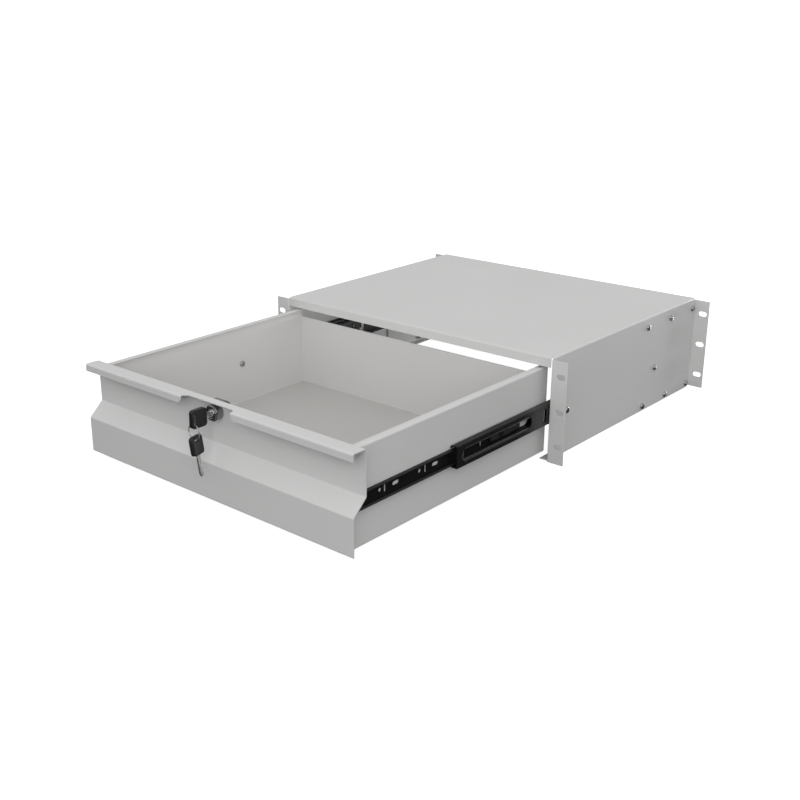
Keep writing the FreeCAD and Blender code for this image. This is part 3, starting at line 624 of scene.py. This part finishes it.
def nut_set():
    """The nuts inside the rear brackets."""
    spots = lumps("bracket_nuts")
    low, high = spots[0]
    pattern = hex_nut(min(high.y - low.y, high.z - low.z), high.x - low.x, 2.0 * MM)
    places = []
    for low, high in spots:
        middle = (low + high) / 2
        side = -math.copysign(1, middle.x)
        seat = Vector((low.x if side > 0 else high.x, middle.y, middle.z))
        flat_up = high.y - low.y > high.z - low.z
        places.append(aimed(seat, (side, 0, 0), 0.0 if flat_up else math.pi / 6))
    fitted(repeated("hex_nuts", pattern, places), "housing", "screw_zinc", "bracket_nuts")


nut_set()


# ---------------------------------------------------------------- bearing balls
def ball_rows(node, body):
    """Both rows of steel balls of one cage, true round."""
    spots = lumps(node)
    radius = max(high.z - low.z for low, high in spots) / 2
    shape = bmesh.new()
    bmesh.ops.create_icosphere(shape, subdivisions=3, radius=radius)
    pattern = closed("ball", shape)
    places = [Matrix.Translation((low + high) / 2) for low, high in spots]
    fitted(repeated("bearing_" + node, pattern, places), body, "ball_steel", node, smooth=180)


for side in ("left", "right"):
    ball_rows("outer_balls_" + side, "outer_cage_set_" + side)
    ball_rows("inner_balls_" + side, "inner_cage_set_" + side)


# ---------------------------------------------------------------- cam lock
LOCK = Vector((0, -342.0, 39.25)) * MM      # middle of the lock's face
WALL = 11.0 * MM                            # its face to the recess wall


def placed(piece, matrix):
    """The piece with its mesh moved, so that its own place stays at the origin."""
    piece.data.transform(matrix)
    return piece


def millimetres(points):
    return [(a * MM, b * MM) for a, b in points]


def block(name, x0, x1, y0, y1, z0, z1):
    """Rectangular piece by its sides, in millimetres."""
    outline = millimetres([(x0, y0), (x1, y0), (x1, y1), (x0, y1)])
    return slab(name, outline, z0 * MM, z1 * MM)


def lock_casting():
    """Bezel with a stepped rim, and behind the wall the threaded barrel with its two flats."""
    front = [(5.56, 0.9), (5.62, 0.35), (6.1, 0.06), (6.6, 0.0), (7.7, 0.0), (8.05, 0.08), (8.3, 0.35),
             (8.36, 0.9), (8.5, 1.22), (9.1, 1.42), (9.5, 1.75), (9.72, 2.3), (9.75, 3.0), (9.75, 10.3),
             (9.6, 10.75), (9.3, 11.0), (7.98, 11.0)]
    coil = thread(8.0 * MM, 1.0 * MM, 12.3 * MM, 24.6 * MM)
    ridges = [(radius / MM, height / MM) for radius, height in coil]
    profile = front + [(7.98, 12.2)] + ridges + [(7.0, 25.0), (5.7, 25.0), (5.56, 24.8), (5.56, 0.9)]
    casting = turned("lock_casting", millimetres(profile), 96)
    flats = [block("flat", side * 7.25, side * 9.0, -9, 9, 12.35, 26) for side in (-1, 1)]
    placed(cut(casting, *flats), aimed(LOCK, (0, 1, 0)))
    # the casting takes the darker chrome copy: painted shade for the dark reflections on its bezel
    fitted(casting, "drawer", "lock_chrome", "lock_body", smooth=28, shade="lock_chrome_shaded")


def lock_plug_front():
    """Turning plug: eased face, keyway with a bevelled mouth, index mark, and the cam's square tail."""
    profile = [(0, 0.4), (4.7, 0.4), (5.15, 0.5), (5.42, 0.78), (5.46, 1.2), (5.46, 25.2), (0, 25.2)]
    plug = turned("lock_plug_turned", millimetres(profile), 72)
    keyway = block("keyway", -3.65, 3.65, -1.15, 1.15, -1, 19)
    warding = block("warding", -0.9, 1.9, -2.2, 0, -1, 19)
    mouth = block("mouth", -4.3, 4.3, -1.8, 1.8, -0.6, 0.7)
    for corner in mouth.data.vertices:
        if corner.co.z > 0:
            corner.co.x *= 3.5 / 4.3
            corner.co.y *= 1.0 / 1.8
    mark = turned("mark", millimetres([(0, 0.62), (0.32, 0.42), (0.45, 0.0), (0, 0.0)]), 16)
    placed(mark, Matrix.Translation((4.55 * MM, 0, 0)))
    cut(plug, keyway, warding, mouth, mark)
    placed(plug, aimed(LOCK, (0, 1, 0), math.pi / 2))
    tail = eased(block("tail", -3, 3, -3, 3, 25.1, 27.2), 0.3 * MM)
    placed(tail, aimed(LOCK, (0, 1, 0)))
    fitted(joined("lock_plug_keyed", plug, tail), "lock_core", "lock_chrome", "lock_plug", smooth=30)


def cam_plate():
    """Stamped cam: rounded ends, a square hole, a small dimple near its far end and an edge that the press
    rolled.
    """
    y0, thick = 25.2, 1.8
    end, reach = 8.35, 16.65       # radius of its ends, and the distance between their middles
    outline = []
    for start, shift in ((-0.5, 0), (0.5, -reach)):
        for step in range(33):
            turn = math.pi * (step / 32 + start)
            outline.append((end * math.cos(turn) + shift, end * math.sin(turn)))
    plate = slab("cam_plate", millimetres(outline), y0 * MM, (y0 + thick) * MM)
    hole = block("hole", -3.02, 3.02, -3.02, 3.02, y0 - 1, y0 + 3)
    dimple = [(0, y0 + 1.45), (1.1, y0 + 1.45), (1.3, y0 + 2), (0, y0 + 2)]
    relief = turned("relief", millimetres(dimple), 32)
    placed(relief, Matrix.Translation((-18.6 * MM, 0, 0)))
    cut(plate, hole, relief)
    eased(plate, 0.28 * MM, 3, 40)
    across = Matrix(((1, 0, 0, 0), (0, 0, 1, 0), (0, 1, 0, 0), (0, 0, 0, 1)))
    placed(plate, Matrix.Translation(LOCK) @ across)
    plate.data.flip_normals()
    fitted(plate, "lock_core", "lock_steel", "lock_cam", smooth=32)


def cam_bolt():
    """Hexagon screw and its spring washer on the plug's tail."""
    head = hexagon(7.9 * MM, 1.9 * MM)
    placed(head, Matrix.Translation((0, 0, 0.7 * MM)))
    washer = turned("washer", millimetres([(2.7, 0.0), (4.4, 0.0), (4.5, 0.12), (4.5, 0.6), (4.38, 0.7),
                                           (2.7, 0.7), (2.7, 0.0)]), 48)
    split = block("split", 1, 6, -0.18, 0.18, -1, 2)
    cut(washer, split)
    stub = turned("stub", millimetres([(0, -0.4), (2.6, -0.4), (2.6, 1.0), (0, 1.0)]), 24)
    bolt = joined("cam_bolt", head, washer, stub)
    placed(bolt, aimed(LOCK + Vector((0, 27.2 * MM, 0)), (0, 1, 0)))
    fitted(bolt, "lock_core", "screw_zinc", "cam_screw", smooth=30)


def clamp_nut():
    """Thin hexagon nut that holds the lock to the wall."""
    ring = hex_nut(21 * MM, 4 * MM, 7.9 * MM)
    placed(ring, aimed(LOCK + Vector((0, WALL + 1.2 * MM, 0)), (0, 1, 0)))
    fitted(ring, "drawer", "lock_steel", "lock_nut", smooth=30)


lock_casting()
lock_plug_front()
cam_plate()
cam_bolt()
clamp_nut()


# ---------------------------------------------------------------- keys and ring
# A key is drawn lying along Y with the end of its bow at -Y and its thickness along X.
KEY_IN_LOCK = Matrix.Translation(Vector((0, -349.0, 39.25)) * MM)
RING_MIDDLE = Vector((0, -366.5, 25.047)) * MM
SLOT_MIDDLE = -17.5 * MM
ON_EDGE = Matrix(((0, 0, 1, 0), (1, 0, 0, 0), (0, 1, 0, 0), (0, 0, 0, 1)))   # X, Y to the key's Y, Z


def key_on_ring():
    """Where the second key hangs: blade down, turned a little, off to one side of the ring's foot."""
    hang = Matrix.Translation((0, 0, -8.510 * MM))
    lean = Matrix.Rotation(math.radians(-11), 4, "Y")
    turn = Matrix.Rotation(math.radians(22), 4, "Z")
    down = Matrix.Rotation(math.radians(-90), 4, "X")
    slot = Matrix.Translation((0, -SLOT_MIDDLE, 0))
    return Matrix.Translation(RING_MIDDLE) @ lean @ hang @ turn @ down @ slot


def stadium(length, width, steps=12):
    """Outline of a slot lying along Y, about the origin."""
    points = []
    for start, side in ((0, 1), (math.pi, -1)):
        for step in range(steps + 1):
            turn = start + math.pi * step / steps
            along = side * (length - width) / 2 + width / 2 * math.sin(turn)
            points.append((width / 2 * math.cos(turn), along))
    return points


def key_blade():
    """Milled blade: the cuts along its top, a groove in each side, and its rounded tip."""
    outline = [(-8, -3.45), (20.6, -3.45), (22.6, -2.9), (24.3, -1.7), (24.9, -0.7), (24.4, 0.6),
               (22.2, 3.35), (19.6, 1.5), (17.5, 1.5), (15.5, 3.4), (13.1, 0.65), (11.0, 0.65),
               (9.1, 2.7), (7.1, 3.4), (-8, 3.4)]
    blade = slab("key_blade", millimetres(outline), -0.98 * MM, 0.98 * MM)
    grooves = [block("groove", -9, 26, -0.2, 1.0, 0.55, 2), block("groove", -9, 26, -2.4, -1.2, -2, -0.5),
               block("groove", -9, 26, -2.9, -2.3, 0.6, 2)]
    cut(blade, *grooves)
    eased(blade, 0.10 * MM, 2, 40)
    return placed(blade, ON_EDGE)


def key_bow():
    """Moulded bow: recessed faces inside a raised rim, the ring's slot, and a socket for the blade."""
    bow = slab("key_bow", rounded_outline(10.7 * MM, 10.7 * MM, 4.0 * MM), -2.95 * MM, 2.95 * MM)
    placed(bow, Matrix.Translation((-10.75 * MM, 0, 0)))
    eased(bow, 0.9 * MM, 4, 40)
    for side in (-1, 1):
        field = slab("field", rounded_outline(6.2 * MM, 8.4 * MM, 2.4 * MM), 2.45 * MM, 4 * MM)
        for corner in field.data.vertices:
            if corner.co.z < 3 * MM:
                corner.co.x *= 0.94
                corner.co.y *= 0.95
        placed(field, Matrix.Rotation(0 if side > 0 else math.pi, 4, "X"))
        placed(field, Matrix.Translation((-7.6 * MM, 0, 0)))
        cut(bow, field)
    slot = slab("slot", stadium(14.0 * MM, 2.8 * MM), -5 * MM, 5 * MM)
    cut(bow, placed(slot, Matrix.Translation((SLOT_MIDDLE, 0, 0))))
    socket = block("socket", -8.05, 1, -3.55, 3.55, -1.02, 1.02)
    cut(bow, socket)
    eased(bow, 0.16 * MM, 2, 50)
    return placed(bow, ON_EDGE)


def slot_liner():
    """Steel lining of the bow's slot, where the blade's own eye shows."""
    liner = slab("slot_liner", stadium(13.98 * MM, 2.78 * MM), -1.9 * MM, 1.9 * MM)
    cut(liner, slab("eye", stadium(13.80 * MM, 2.60 * MM), -4 * MM, 4 * MM))
    return placed(liner, ON_EDGE @ Matrix.Translation((SLOT_MIDDLE, 0, 0)))


def one_key(name, body, place, blade_node, bow_node):
    """A whole key on its body."""
    steel = joined(name + "_blade_cut", key_blade(), slot_liner())
    fitted(placed(steel, place), body, "key_steel", blade_node, smooth=30)
    fitted(placed(key_bow(), place), body, "bow_plastic", bow_node, smooth=40)


def split_ring():
    """Two flat coils of one wire; it steps from the first coil to the second near its ends."""
    shape = bmesh.new()
    steps = 288
    middle, apart = 8.5, 0.48      # radius of the coils, and from one coil to the next
    section = [(-0.22, -0.40), (-0.14, -0.48), (0.14, -0.48), (0.22, -0.40),
               (0.22, 0.40), (0.14, 0.48), (-0.14, 0.48), (-0.22, 0.40)]
    rows = []
    for step in range(steps + 1):
        turn = 4 * math.pi * step / steps + 0.5
        crossing = min(max((step - steps / 2) / 14 + 0.5, 0), 1)
        across = -apart / 2 + apart * crossing * crossing * (3 - 2 * crossing)
        row = []
        for width, depth in section:
            radius = middle + depth
            row.append(shape.verts.new((radius * math.cos(turn) * MM, (across + width) * MM,
                                        radius * math.sin(turn) * MM)))
        rows.append(row)
    count = len(section)
    for low, high in zip(rows, rows[1:]):
        for edge in range(count):
            shape.faces.new((low[edge], low[(edge + 1) % count], high[(edge + 1) % count], high[edge]))
    shape.faces.new(rows[0])
    shape.faces.new(rows[-1])
    ring = closed("split_ring", shape)
    placed(ring, Matrix.Translation(RING_MIDDLE))
    fitted(ring, "ring", "key_steel", "key_ring", smooth=50)


one_key("lock_key", "lock_key", KEY_IN_LOCK, "key_blade", "key_bow")
one_key("spare_key", "spare_key", key_on_ring(), "spare_key_blade", "spare_key_bow")
split_ring()


# ---------------------------------------------------------------- carried-over solids
CARRIED = {
    "powder_coat": ["housing_shell", "rear_bracket_left", "rear_bracket_right", "lock_strike",
                    "drawer_tray", "front_panel"],
    "slide_black": ["cabinet_member_left", "cabinet_member_right", "drawer_member_left",
                    "drawer_member_right", "lever_rivets"],
    "slide_black_lit": ["middle_member_left", "middle_member_right"],
    "cage_zinc": ["outer_cage_left", "outer_cage_right", "inner_cage_left", "inner_cage_right"],
    "rubber_black": ["end_bumper_left", "end_bumper_right"],
    "plastic_black": ["release_lever_left", "release_lever_right"],
}

for finish, nodes in CARRIED.items():
    for node in nodes:
        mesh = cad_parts[node].data
        mesh.materials.clear()
        mesh.materials.append(FINISHES[finish])


# ---------------------------------------------------------------- studio
FLOOR_REACH = 400.0        # metres from its middle to its sides, so that they lie on the horizon
FLOOR_THICK = 0.02

# each lamp's place, the length of its side and its power in watts
SOFT_BOXES = {
    "key_light": ((1.80, -2.40, 1.15), 2.4, 36),
    "back_light": ((0.32, 1.4, -0.07), 0.5, 15),
}

SENSOR, FOCAL = 36.0, 50.93                             # millimetres
SHIFT = (0.0696, -0.0136)
AIM = Vector((0, -0.12367, 0.01003))                    # what the camera turns about
DISTANCE = 1.40557
AZIMUTH, ELEVATION, ROLL = (math.radians(turn) for turn in (42.46, 19.28, -0.52))


def studio():
    """Pale sweep, an even sky above a dark ground, and the soft boxes."""
    low, high = cad_box
    reach = FLOOR_REACH
    corners = [(-reach, -reach), (reach, -reach), (reach, reach), (-reach, reach)]
    floor = slab("floor", corners, low.z - FLOOR_THICK, low.z)
    floor.data.materials.append(studio_floor())
    floor.visible_diffuse = False
    floor.visible_glossy = False

    sky = Sky("studio", Strength=0.67)
    sky.set("Color", sky.ramp(sky.axis(sky.place, "Z") + 0.01, (0, 0.06), (0.006, 1)))
    bpy.context.scene.world = sky.world

    for name, (place, size, power) in SOFT_BOXES.items():
        soft_box(name, place, size, power)


def soft_box(name, place, size, power):
    """Square lamp that looks at the origin."""
    lamp = bpy.data.lights.new(name, "AREA")
    lamp.size = size
    lamp.energy = power
    box = bpy.data.objects.new(name, lamp)
    bpy.context.scene.collection.objects.link(box)
    box.location = place
    box.rotation_mode = "QUATERNION"
    box.rotation_quaternion = Vector(place).to_track_quat("Z", "Y")


def camera():
    """Long lens from the front right, a little above."""
    lens = bpy.data.cameras.new("camera")
    lens.lens = FOCAL
    lens.sensor_width = SENSOR
    lens.shift_x, lens.shift_y = SHIFT
    lens.clip_start = 0.05
    lens.clip_end = 2000.0
    eye = bpy.data.objects.new("camera", lens)
    bpy.context.scene.collection.objects.link(eye)
    back = Vector((math.sin(AZIMUTH) * math.cos(ELEVATION),
                   -math.cos(AZIMUTH) * math.cos(ELEVATION), math.sin(ELEVATION)))
    eye.rotation_mode = "QUATERNION"
    eye.location = AIM + back * DISTANCE
    upright = back.to_track_quat("Z", "Y").to_matrix()
    eye.rotation_quaternion = (upright @ Matrix.Rotation(ROLL, 3, "Z")).to_quaternion()
    bpy.context.scene.camera = eye


studio()
camera()
bpy.context.scene.view_settings.view_transform = "Standard"
